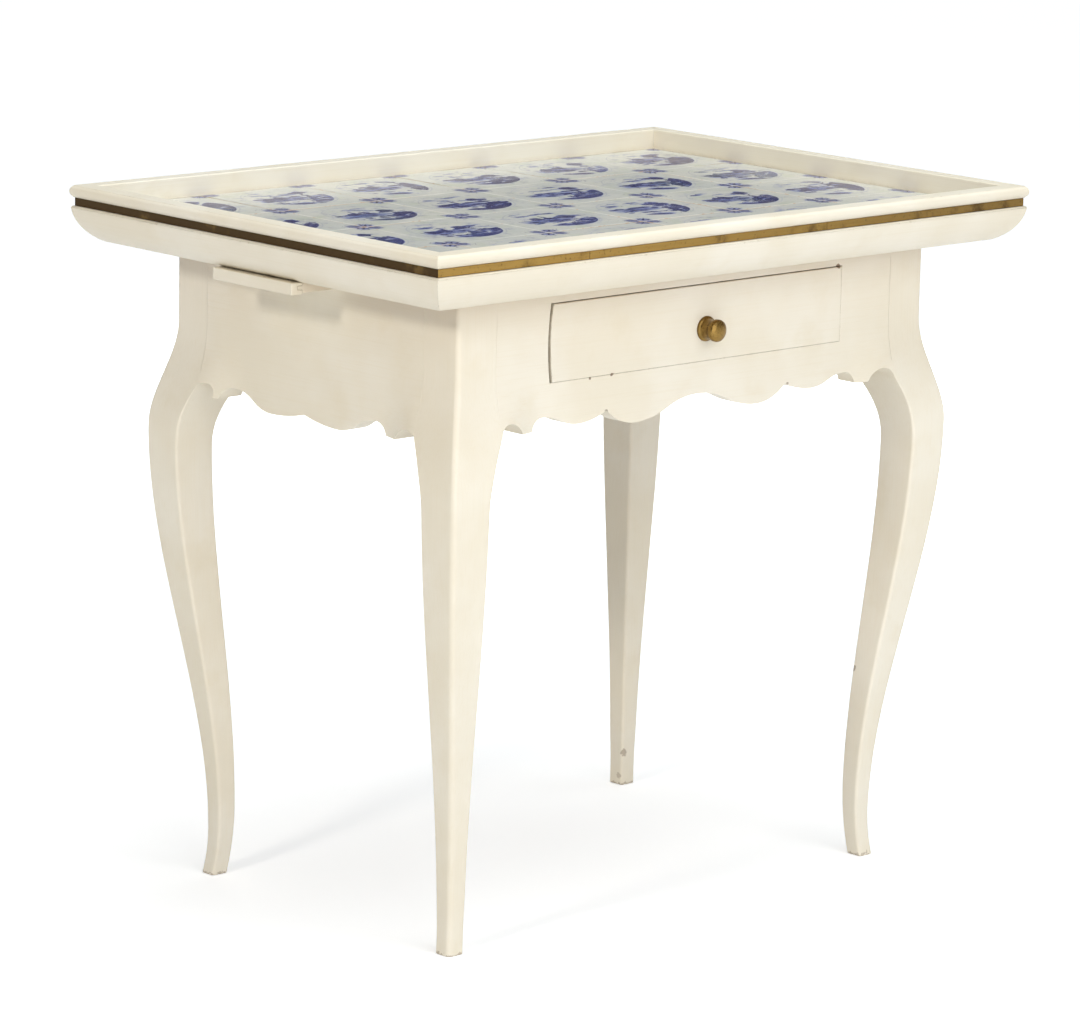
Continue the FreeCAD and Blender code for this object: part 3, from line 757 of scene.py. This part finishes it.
def makeSmallWood():
    s = smallWood
    low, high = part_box("drawer_front")
    bm = mergedCopy("drawer_front")
    for v in bm.verts:
        if v.co.x < low.x + s["leftWithin"]:
            v.co.x += s["leftOpen"]
        elif v.co.x > high.x - s["rightWithin"]:
            v.co.x += s["rightClose"]
        if v.co.z < low.z + s["bottomWithin"]:
            v.co.z -= s["bottomClose"]
    finishPiece(bm, "drawerFace", ["drawer_front"], paint[0])
    for side in ("left", "right"):
        for along, kind in enumerate(("board", "clamp")):
            node = "slide_" + kind + "_" + side
            bm = mergedCopy(node)
            soften(bm, sharpEdges(bm), s[kind + "Arris"])
            title = "slide" + kind.capitalize() + side.capitalize()
            finishPiece(bm, title, [node], paint[along])


makeSmallWood()
print("drawer face and slides eased")


# peg ends sit just under the paint of the posts
pegSettings = {"below": 0.0007, "endWithin": 1e-4}


def makePegs():
    s = pegSettings
    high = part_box("tenon_pegs")[1]
    bm = mergedCopy("tenon_pegs")
    for v in bm.verts:
        for axis in range(2):
            if high[axis] - abs(v.co[axis]) < s["endWithin"]:
                v.co[axis] -= math.copysign(s["below"], v.co[axis])
    finishPiece(bm, "drivenPegs", ["tenon_pegs"], wood[0], weighted=False)


makePegs()
print("pegs driven")


# turned brass knob
knobSettings = {
    "steps": 48,
    "weld": 1e-6,
    "smoothAngle": 50.0,
    # distance from the drawer and radius, millimetres, base to face
    "profile": ((0.0, 13.0), (1.2, 13.0), (2.2, 12.4), (2.7, 11.4), (3.4, 10.8), (5.0, 10.3), (7.5, 10.0),
                (10.0, 10.0), (11.6, 10.3), (12.5, 10.8), (13.2, 11.2), (14.2, 11.5), (17.0, 11.5),
                (18.2, 11.1), (19.2, 10.1), (20.2, 8.2), (21.0, 5.4), (21.4, 2.6), (21.5, 0.0)),
}


def makeKnob():
    s = knobSettings
    low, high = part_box("drawer_knob")
    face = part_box("drawer_front")[0].y
    middle = Vector(((low.x + high.x) / 2, face, (low.z + high.z) / 2))
    bm = bmesh.new()
    rail = [bm.verts.new(middle + Vector((0, -out / 1000, radius / 1000))) for out, radius in s["profile"]]
    for a, b in zip(rail, rail[1:]):
        bm.edges.new((a, b))
    bmesh.ops.spin(bm, geom=bm.verts[:] + bm.edges[:], cent=middle, axis=(0, 1, 0), angle=math.tau,
                   steps=s["steps"], use_merge=True)
    bmesh.ops.remove_doubles(bm, verts=bm.verts[:], dist=s["weld"])
    bmesh.ops.holes_fill(bm, edges=[e for e in bm.edges if e.is_boundary])
    bmesh.ops.recalc_face_normals(bm, faces=bm.faces[:])
    finishPiece(bm, "turnedKnob", ["drawer_knob"], knobBrass, s["smoothAngle"], False)


makeKnob()
print("knob turned")


# tiles: each a hand-cut square, its picture painted stroke by stroke in millimetres from its middle
tileSettings = {
    "cells": 150,
    "seed": 1741,
    "pictureStep": 37,
    "tilt": 0.00022,
    "wave": 0.00012,
    "wavePitch": 34.0,
    "edgeFall": 0.00045,
    "edgeWidth": 1.7,
    "undercut": 0.977,
    "medallion": 46.8,
    "spotStep": 211.0,
    "smoothAngle": 40.0,
}


def newCanvas():
    places = np.linspace(-tileHalf, tileHalf, tileSettings["cells"] + 1)
    x, y = np.meshgrid(places, places)
    return {"x": x, "y": y, "line": np.full(x.shape, glazeFinish["lineReach"] / 2),
            "wash": np.zeros(x.shape), "tint": np.full(x.shape, 0.5)}


def cellOf(place):
    # nearest row or column of the canvas
    cells = tileSettings["cells"]
    return np.clip(np.rint((place + tileHalf) / (2 * tileHalf) * cells).astype(int), 0, cells)


def window(lowX, highX, lowY, highY):
    return slice(cellOf(lowY), cellOf(highY) + 1), slice(cellOf(lowX), cellOf(highX) + 1)


def turned(x, y, turn):
    return x * math.cos(turn) + y * math.sin(turn), y * math.cos(turn) - x * math.sin(turn)


def stroke(canvas, points, widths):
    # one brush stroke through the points, its width at each
    margin = max(widths) + 3.0
    xs, ys = [p[0] for p in points], [p[1] for p in points]
    part = window(min(xs) - margin, max(xs) + margin, min(ys) - margin, max(ys) + margin)
    x, y, line = canvas["x"][part], canvas["y"][part], canvas["line"][part]
    for (ax, ay), (bx, by), wa, wb in zip(points, points[1:], widths, widths[1:]):
        dx, dy = bx - ax, by - ay
        t = np.clip(((x - ax) * dx + (y - ay) * dy) / max(dx * dx + dy * dy, 1e-9), 0, 1)
        away = np.hypot(x - ax - t * dx, y - ay - t * dy) - (wa + (wb - wa) * t) / 2
        np.minimum(line, away, out=line)


def washOver(canvas, middle, reach, amount, soft, turn=0.0):
    # watered cobalt inside an oval
    big = max(reach) * 1.4
    part = window(middle[0] - big, middle[0] + big, middle[1] - big, middle[1] + big)
    u, v = turned(canvas["x"][part] - middle[0], canvas["y"][part] - middle[1], turn)
    inside = np.clip((1 + soft - np.hypot(u / reach[0], v / reach[1])) / (2 * soft), 0, 1)
    inside = inside * inside * (3 - 2 * inside) * amount
    canvas["wash"][part] = 1 - (1 - canvas["wash"][part]) * (1 - inside)


def wipe(canvas, middle, reach, amount, turn):
    # lifts some of the wash off again inside a thin oval
    u, v = turned(canvas["x"] - middle[0], canvas["y"] - middle[1], turn)
    canvas["wash"] *= 1 - amount * np.clip(1.3 - np.hypot(u / reach[0], v / reach[1]), 0, 1)


def dabs(canvas, dice, middle, reach, count, size):
    # short dabs of the brush scattered over an oval, for leaves
    for _ in range(count):
        angle, out = dice.uniform(0, math.tau), math.sqrt(dice.random())
        x = middle[0] + math.cos(angle) * out * reach[0]
        y = middle[1] + math.sin(angle) * out * reach[1]
        lean = dice.uniform(-0.6, 0.6)
        length = size * dice.uniform(0.7, 1.5)
        stroke(canvas, [(x, y), (x + length * math.cos(lean), y + length * math.sin(lean))],
               [size * dice.uniform(0.6, 1.0), size * dice.uniform(0.3, 0.6)])


def paintedTree(canvas, dice, foot, height, crown):
    x, y = foot
    sway = dice.uniform(-4, 4)
    top = (x + sway, y + height)
    stroke(canvas, [(x, y), (x + sway * 0.2, y + height * 0.5), top], [2.6, 2.0, 1.2])
    for side in (-1, 1, -1):
        start = dice.uniform(0.45, 0.85)
        end = start + dice.uniform(0.15, 0.35)
        fork = x + sway * start
        tip = (fork + side * crown * 0.7, y + height * end)
        stroke(canvas, [(fork, y + height * start), tip], [1.4, 0.8])
    for _ in range(4):
        puff = (top[0] + dice.uniform(-0.7, 0.7) * crown, top[1] + dice.uniform(-0.35, 0.6) * crown)
        washOver(canvas, puff, (crown * 0.62, crown * 0.46), 0.5, 0.35)
        dabs(canvas, dice, puff, (crown * 0.6, crown * 0.45), 11, 1.9)


def house(canvas, dice, corner, width, height):
    x, y = corner
    right, eaves = x + width, y + height
    roof = height * dice.uniform(0.7, 1.0)
    ridge = eaves + roof
    stroke(canvas, [(x, y), (x, eaves), (right, eaves), (right, y), (x, y)], [0.95] * 5)
    stroke(canvas, [(x - 1, eaves), (x + width * 0.3, ridge), (x + width * 0.8, ridge), (right + 1, eaves)],
           [1.1] * 4)
    washOver(canvas, (x + width / 2, eaves + roof * 0.45), (width * 0.5, roof * 0.5), 0.7, 0.2)
    washOver(canvas, (x + width * 0.8, y + height / 2), (width * 0.2, height * 0.5), 0.4, 0.3)
    for k in range(2):
        spot = (x + width * (0.3 + 0.35 * k), y + height * 0.5)
        stroke(canvas, [spot, (spot[0], spot[1] + 1.2)], [1.2, 1.2])


def steeple(canvas, foot, height):
    x, y = foot
    eaves = y + height * 0.55
    stroke(canvas, [(x - 1.6, y), (x - 1.6, eaves), (x, y + height), (x + 1.6, eaves), (x + 1.6, y)],
           [0.95, 0.95, 0.9, 0.95, 0.95])
    washOver(canvas, (x + 0.6, y + height * 0.4), (1.6, height * 0.4), 0.6, 0.2)


def boat(canvas, place, size):
    x, y = place
    hull = [(x - size * 0.6, y + 1.2), (x - size * 0.3, y), (x + size * 0.35, y), (x + size * 0.65, y + 1.8)]
    sail = [(x + 0.8, y + size * 1.25), (x + size * 0.6, y + size * 0.3), (x + 0.8, y + size * 0.25)]
    stroke(canvas, hull, [1.2, 2.4, 2.4, 1.0])
    stroke(canvas, [(x, y), (x + 0.4, y + size * 1.35)], [1.1, 0.8])
    stroke(canvas, sail, [0.85] * 3)
    washOver(canvas, (x + size * 0.28, y + size * 0.6), (size * 0.22, size * 0.4), 0.4, 0.3)


def bankOver(canvas, dice, lean, start, amount):
    # dark near bank filling one side of the round, and its uneven edge as points
    u, v = turned(canvas["x"], canvas["y"], lean)
    slow, quick = dice.uniform(0, 6), dice.uniform(0, 6)

    def edge(v):
        return start + 2.0 * np.sin(v / 8 + slow) + 1.1 * np.sin(v / 3.3 + quick) + 0.013 * v * v
    inside = np.clip((u - edge(v)) / 2.6, 0, 1) * amount
    canvas["wash"] = 1 - (1 - canvas["wash"]) * (1 - inside)

    def at(v, further=0.0):
        u = edge(v) + further
        return (u * math.cos(lean) - v * math.sin(lean), u * math.sin(lean) + v * math.cos(lean))
    return at


def paintPicture(canvas, dice):
    # a waterside scene in the round: far bank, water, and a dark near bank under trees
    horizon = dice.uniform(-2, 7)
    farBank = [(x, horizon + dice.uniform(-0.8, 1.0)) for x in np.linspace(-46, 46, 12)]
    stroke(canvas, farBank, [dice.uniform(0.8, 1.4) for _ in farBank])
    for _ in range(dice.randint(7, 11)):
        place = (dice.uniform(-42, 34), horizon + dice.uniform(0.5, 4.0))
        reach = (dice.uniform(4, 9), dice.uniform(2.2, 4.5))
        washOver(canvas, place, reach, 0.42, 0.35)
        dabs(canvas, dice, place, reach, 6, 1.5)
    kind = dice.randint(0, 3)
    if kind in (0, 2):
        for k in range(dice.randint(1, 2)):
            corner = (dice.uniform(-32, -22) + 15 * k, horizon)
            house(canvas, dice, corner, dice.uniform(8, 12), dice.uniform(5, 7))
    if kind in (1, 2):
        steeple(canvas, (dice.uniform(-20, 2), horizon), dice.uniform(16, 23))
    if kind in (1, 3):
        boat(canvas, (dice.uniform(-24, -8), horizon - dice.uniform(9, 14)), dice.uniform(9, 13))
    for _ in range(dice.randint(9, 14)):
        x, y = dice.uniform(-40, 24), horizon - dice.uniform(2, 26)
        length = dice.uniform(4, 13)
        stroke(canvas, [(x, y), (x + length, y + dice.uniform(-0.4, 0.4))], [0.75, 0.9])
    washOver(canvas, (-14, horizon - 9), (36, 11), 0.4, 0.6)
    # reeds and reflections over the water
    for _ in range(dice.randint(11, 17)):
        place = (dice.uniform(-38, 14), horizon - dice.uniform(3, 34))
        reach = (dice.uniform(3, 9), dice.uniform(1.2, 3.2))
        washOver(canvas, place, reach, dice.uniform(0.3, 0.6), 0.4, dice.uniform(-0.3, 0.3))
        dabs(canvas, dice, place, reach, dice.randint(3, 7), 1.6)
    # near bank, darkest to the right
    shade = dice.choice((0.5, 0.72, 0.88, 0.95))
    nearBank = bankOver(canvas, dice, math.radians(dice.uniform(-66, -12)), dice.uniform(14, 25), shade)
    for _ in range(dice.randint(12, 18)):
        spot = nearBank(dice.uniform(-28, 28), dice.uniform(1, 20))
        reach = (dice.uniform(3, 10), dice.uniform(0.9, 2.2))
        wipe(canvas, spot, reach, dice.uniform(0.4, 0.8), dice.uniform(-0.4, 0.5))
    washOver(canvas, (-20, -42), (22, 9), 0.6, 0.4)
    for _ in range(9):
        dabs(canvas, dice, nearBank(dice.uniform(-28, 28)), (4.0, 2.0), 3, 2.0)
    for _ in range(8):
        x, y = nearBank(dice.uniform(-26, 18), 1.0)
        stroke(canvas, [(x, y), (x + dice.uniform(-2, 2), y + dice.uniform(4, 7))], [1.3, 0.7])
    paintedTree(canvas, dice, nearBank(dice.uniform(4, 16), 4.0), dice.uniform(22, 30), dice.uniform(10, 14))
    if dice.random() < 0.5:
        foot = (dice.uniform(-34, -26), dice.uniform(-24, -18))
        paintedTree(canvas, dice, foot, dice.uniform(16, 22), dice.uniform(6, 9))
    # clouds and birds
    for _ in range(dice.randint(5, 8)):
        x, y = dice.uniform(-36, 12), dice.uniform(14, 40)
        stroke(canvas, [(x, y), (x + 4, y + 1.6), (x + 9, y + 0.8), (x + 14, y + 1.4)], [0.7, 0.9, 0.9, 0.6])
        washOver(canvas, (x + 8, y - 1), (9, 3.0), 0.28, 0.5)
    for _ in range(2):
        x, y = dice.uniform(-26, 6), dice.uniform(14, 30)
        stroke(canvas, [(x - 2, y + 1), (x, y), (x + 2.2, y + 1.2)], [0.6, 0.9, 0.6])


def paintCorners(canvas, dice):
    # a curled leaf in each corner, so that four tiles make one small rosette
    for sideX in (-1, 1):
        for sideY in (-1, 1):
            def at(u, v):
                return (sideX * (tileHalf - u), sideY * (tileHalf - v))
            j = [dice.uniform(-0.5, 0.5) for _ in range(6)]
            stroke(canvas, [at(2.5, 2.5), at(6 + j[0], 6 + j[1]), at(11 + j[2], 11 + j[3])], [1.6, 3.2, 1.0])
            stroke(canvas, [at(3, 2), at(9, 2.6 + j[4]), at(14, 5.2), at(13, 8.4)], [1.2, 1.9, 1.5, 0.8])
            stroke(canvas, [at(2, 3), at(2.6 + j[5], 9), at(5.2, 14), at(8.4, 13)], [1.2, 1.9, 1.5, 0.8])
            washOver(canvas, at(7, 7), (9, 9), 0.34, 0.5)
            dabs(canvas, dice, at(13, 13), (8, 8), 5, 1.5)


def paintTile(number):
    s = tileSettings
    dice = random.Random(s["seed"] + number * s["pictureStep"])
    canvas = newCanvas()
    paintPicture(canvas, dice)
    out = np.hypot(canvas["x"], canvas["y"]) - s["medallion"]
    np.maximum(canvas["line"], out, out=canvas["line"])
    canvas["wash"] *= np.clip(0.5 - out, 0, 1)
    paintCorners(canvas, dice)
    # the blue varies from tile to tile and across each, and is weaker in the corners
    canvas["tint"] += dice.uniform(-0.25, 0.25)
    hue = dice.uniform(0, 50)
    canvas["tint"] += 0.3 * np.sin(canvas["x"] / 14 + hue) * np.cos(canvas["y"] / 17 + hue * 1.7)
    canvas["tint"] -= 0.35 * (out > 6)
    return canvas


def makeTile(name, number):
    s = tileSettings
    dice = random.Random(s["seed"] + number)
    low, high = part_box(name)
    middle = Vector(((low.x + high.x) / 2, (low.y + high.y) / 2, high.z))
    canvas = paintTile(number)
    cells = s["cells"]
    bm = bmesh.new()
    bmesh.ops.create_grid(bm, x_segments=cells, y_segments=cells, size=tileHalf / 1000)
    tiltX, tiltY = dice.uniform(-1, 1) * s["tilt"], dice.uniform(-1, 1) * s["tilt"]
    seedPlace = Vector((number * 3.7, number * 1.3, 0))
    for v in bm.verts:
        x, y = v.co.x * 1000, v.co.y * 1000
        inset = min(tileHalf - abs(x), tileHalf - abs(y))
        fall = max(0.0, 1 - inset / s["edgeWidth"])
        wave = noise.noise(Vector((x, y, 0)) / s["wavePitch"] + seedPlace)
        v.co.z = (-s["edgeFall"] * fall ** 2 - s["wave"] * (1 + wave) - abs(tiltX) - abs(tiltY)
                  + tiltX * x / tileHalf + tiltY * y / tileHalf)
    border = [e for e in bm.edges if e.is_boundary]
    skirt = bmesh.ops.extrude_edge_only(bm, edges=border)["geom"]
    under = [v for v in skirt if isinstance(v, bmesh.types.BMVert)]
    for v in under:
        v.co.z = low.z - high.z
    bmesh.ops.scale(bm, vec=(s["undercut"], s["undercut"], 1), verts=under)
    bmesh.ops.edgeloop_fill(bm, edges=[e for e in bm.edges if e.is_boundary])
    bmesh.ops.recalc_face_normals(bm, faces=bm.faces[:])
    bm.verts.index_update()
    flat = np.array([(v.co.x * 1000, v.co.y * 1000) for v in bm.verts])
    bmesh.ops.translate(bm, vec=middle, verts=bm.verts[:])
    title = "paintedTile" + name.replace("tile_row", "").replace("_column", "x")
    piece = finishPiece(bm, title, [name], glaze, s["smoothAngle"], False)
    # each point keeps its place on the tile, and its wash, distance from a stroke and tint
    spot = piece.data.attributes.new("spot", "FLOAT_VECTOR", "POINT")
    apart = np.full(len(flat), number * s["spotStep"])
    spot.data.foreach_set("vector", np.column_stack([flat, apart]).ravel())
    at = cellOf(flat[:, 1]), cellOf(flat[:, 0])
    line = np.clip(0.5 + canvas["line"][at] / glazeFinish["lineReach"], 0, 1)
    tint = np.clip(canvas["tint"][at], 0, 1)
    colours = np.column_stack([canvas["wash"][at], line, tint, np.ones(len(flat))])
    painted = piece.data.attributes.new("paint", "FLOAT_COLOR", "POINT")
    painted.data.foreach_set("color", colours.ravel())


tileNames = sorted(n for n in nodes if n.startswith("tile_row"))
for number, name in enumerate(tileNames):
    makeTile(name, number)
print("tiles painted:", len(tileNames))


# nodes kept as they are, in their own finish
keptFinish = (
    (grout, ("mortar_bed",)),
    (wood[0], ("bed_board", "top_blocks", "drawer_back", "drawer_bottom", "drawer_stops")),
    (wood[0], ("slide_rail_front", "slide_rail_back")),
    (wood[1], ("drawer_side_left", "drawer_side_right", "drawer_runner_left", "drawer_runner_right")),
    (knobBrass, ("knob_nut",)),
)
for material, names in keptFinish:
    for name in names:
        for slot in nodes[name].material_slots:
            slot.material = material
print("kept nodes finished")


# floor, lights, camera
stageSettings = {
    "floor": colour(238, 238, 238),
    "floorHalf": 16.0,
    "floorRoughness": 0.9,
    "nearLift": 0.46,
    "farLift": 0.82,
    "liftTint": (0.92, 0.96, 1.0, 1.0),
    "liftFrom": 0.7,
    "liftTo": 2.6,
    "worldLight": 0.335,
    "worldTint": (1.0, 0.985, 0.955, 1.0),
    "backdropTint": (1.0, 1.0, 1.0, 1.0),
    "backdropTop": 0.05,
    "backdropFade": 0.06,
    "behind": (0.68, 0.73, 0.0),
    "behindFrom": 0.1,
    "behindTo": 0.7,
    "behindDim": 0.75,
    "lamps": (
        # name, place, aim, width and height, watts, tint
        ("frontSoftbox", (-0.55, -2.7, 1.55), (0.0, 0.0, 0.5), (2.8, 2.8), 46.0, (1.0, 1.0, 1.0)),
        ("sideSoftbox", (-3.15, -0.6, 2.1), (-0.2, 0.0, 0.6), (0.45, 0.45), 27.0, (1.0, 0.94, 0.85)),
        ("topSoftbox", (0.3, -0.3, 3.4), (0.0, 0.0, 0.7), (2.4, 2.4), 58.0, (0.93, 0.98, 1.0)),
        ("backFill", (2.4, 2.4, 0.5), (0.0, 0.0, 0.5), (2.6, 0.7), 34.0, (1.0, 1.0, 1.0)),
    ),
}


def seenDirectly(tree):
    # 1 for the camera, and for metal and glass, 0 for light that falls on the table
    seen = put(tree, "LightPath").outputs
    return most(tree, seen["Is Camera Ray"], most(tree, seen["Is Glossy Ray"], seen["Is Transmission Ray"]))


def makeFloor():
    s = stageSettings
    bm = bmesh.new()
    bmesh.ops.create_grid(bm, x_segments=1, y_segments=1, size=s["floorHalf"])
    mesh = bpy.data.meshes.new("studioFloor")
    bm.to_mesh(mesh)
    bm.free()
    floor = bpy.data.objects.new("studioFloor", mesh)
    scene.collection.objects.link(floor)
    material, tree, shader, place = startMaterial("studioFloorWhite")
    away = put(tree, "VectorMath", {0: place}, operation="LENGTH").outputs["Value"]
    outward = step(tree, away, s["liftFrom"], s["liftTo"])
    lift = plus(tree, s["nearLift"], times(tree, outward, s["farLift"] - s["nearLift"]))
    give(tree, shader, Base_Color=s["floor"], Roughness=s["floorRoughness"], Specular_IOR_Level=0.0,
         Emission_Color=s["liftTint"], Emission_Strength=times(tree, seenDirectly(tree), lift))
    mesh.materials.append(material)


def makeWorld():
    # soft light all round, dimmer from behind on the right, with a white backdrop low down
    s = stageSettings
    world = bpy.data.worlds.new("studioWhite")
    scene.world = world
    world.use_nodes = True
    tree = world.node_tree
    back = tree.nodes["Background"]
    towards = put(tree, "TexCoord").outputs["Generated"]
    upward = put(tree, "SeparateXYZ", {0: towards}).outputs["Z"]
    low = step(tree, upward, s["backdropTop"] + s["backdropFade"], s["backdropTop"])
    backdrop = times(tree, seenDirectly(tree), low)
    behind = put(tree, "VectorMath", {0: towards, 1: s["behind"]}, operation="DOT_PRODUCT").outputs["Value"]
    dim = times(tree, step(tree, behind, s["behindFrom"], s["behindTo"]), s["behindDim"])
    light = times(tree, s["worldLight"], minus(tree, 1.0, dim))
    strength = plus(tree, light, times(tree, backdrop, minus(tree, 1.0, light)))
    tree.links.new(strength, back.inputs["Strength"])
    tree.links.new(mixColour(tree, backdrop, s["worldTint"], s["backdropTint"]), back.inputs["Color"])


def makeLamps():
    for name, place, aim, size, watts, tint in stageSettings["lamps"]:
        lamp = bpy.data.lights.new(name, "AREA")
        lamp.shape = "RECTANGLE"
        lamp.size, lamp.size_y = size
        lamp.energy = watts
        lamp.color = tint
        holder = bpy.data.objects.new(name, lamp)
        holder.location = place
        holder.visible_camera = False
        holder.rotation_euler = (Vector(aim) - Vector(place)).to_track_quat("-Z", "Y").to_euler()
        scene.collection.objects.link(holder)


makeFloor()
makeWorld()
makeLamps()
print("floor, world and lamps set")


# camera where the photograph was taken from, its turns in degrees
cameraSettings = {
    "place": (-3.49085, -3.74317, 1.46237),
    "around": -42.9,
    "up": 11.95,
    "roll": 1.29,
    "lens": 165.62,
    "sensor": 36.0,
}


def makeCamera():
    s = cameraSettings
    around, up, roll = (math.radians(s[k]) for k in ("around", "up", "roll"))
    back = Vector((math.sin(around) * math.cos(up), -math.cos(around) * math.cos(up), math.sin(up)))
    right = (-back).cross(Vector((0, 0, 1))).normalized()
    above = right.cross(-back)
    across = right * math.cos(roll) + above * math.sin(roll)
    upward = above * math.cos(roll) - right * math.sin(roll)
    data = bpy.data.cameras.new("photoCamera")
    data.sensor_width = s["sensor"]
    data.lens = s["lens"]
    camera = bpy.data.objects.new("photoCamera", data)
    turn = Matrix((across, upward, back)).transposed().to_4x4()
    camera.matrix_world = Matrix.Translation(s["place"]) @ turn
    scene.collection.objects.link(camera)
    scene.camera = camera


makeCamera()
print("camera set")
